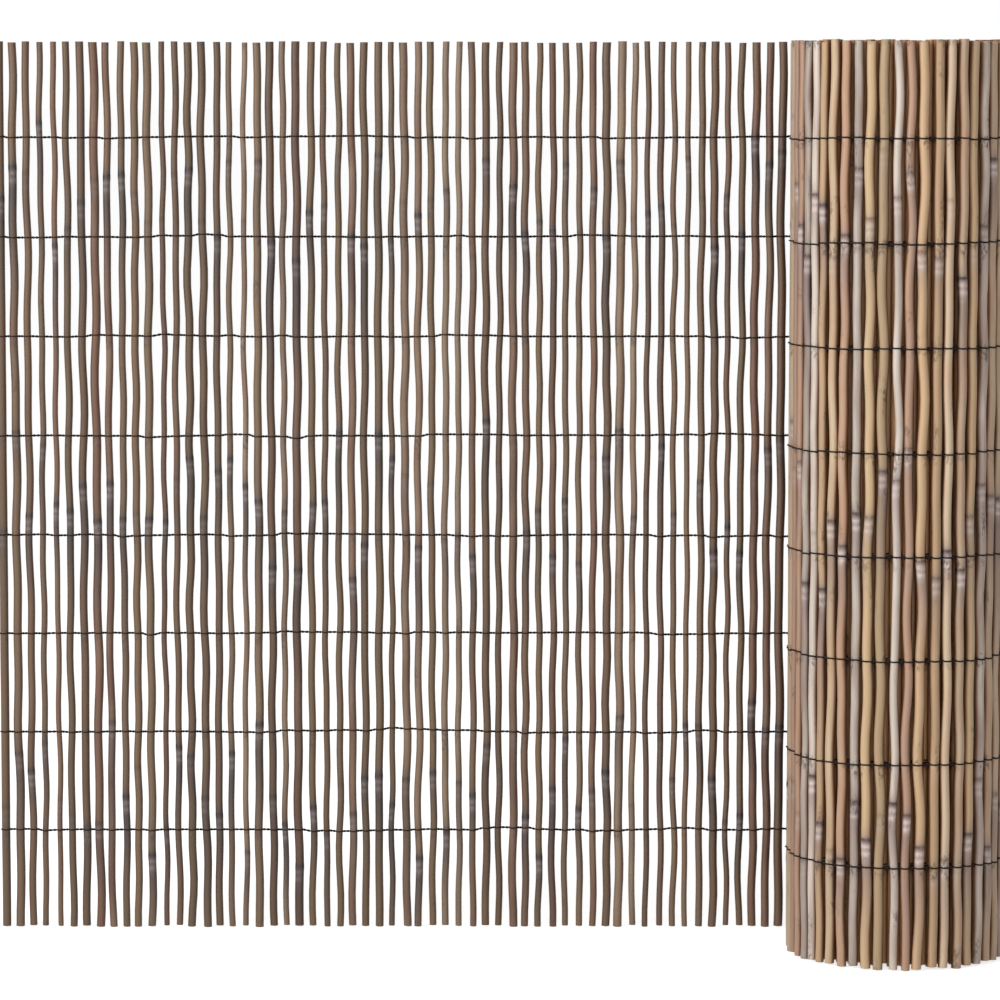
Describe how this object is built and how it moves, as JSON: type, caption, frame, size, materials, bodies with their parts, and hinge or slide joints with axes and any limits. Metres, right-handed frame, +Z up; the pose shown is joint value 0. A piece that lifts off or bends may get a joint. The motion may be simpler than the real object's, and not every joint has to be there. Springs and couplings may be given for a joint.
{
  "type": "reed screen",
  "caption": "Reed screen, partly unrolled: upright round reeds bound by level rows of wire, with a flat stretch that runs into a standing roll. Screens a fence or garden.",
  "frame": {"origin": "on the ground, at the middle of the footprint", "axes": "+X along the flat stretch towards the roll, +Y to the back of the flat stretch, +Z up along the reeds"},
  "size_m": [1.0112, 0.23, 0.895],
  "materials": {
    "flat_reed": "dry brown reed with grey joints",
    "roll_reed": "dry straw-coloured reed with pale joints",
    "binding_wire": "dull dark annealed wire"
  },
  "bodies": {
    "root": {"end_reed": "flat_reed", "flat_reeds": "flat_reed", "roll": "roll_reed", "wire_1": "binding_wire", "wire_2": "binding_wire", "wire_3": "binding_wire", "wire_4": "binding_wire", "wire_5": "binding_wire", "wire_6": "binding_wire", "wire_7": "binding_wire", "wire_8": "binding_wire"}
  },
  "joints": []
}
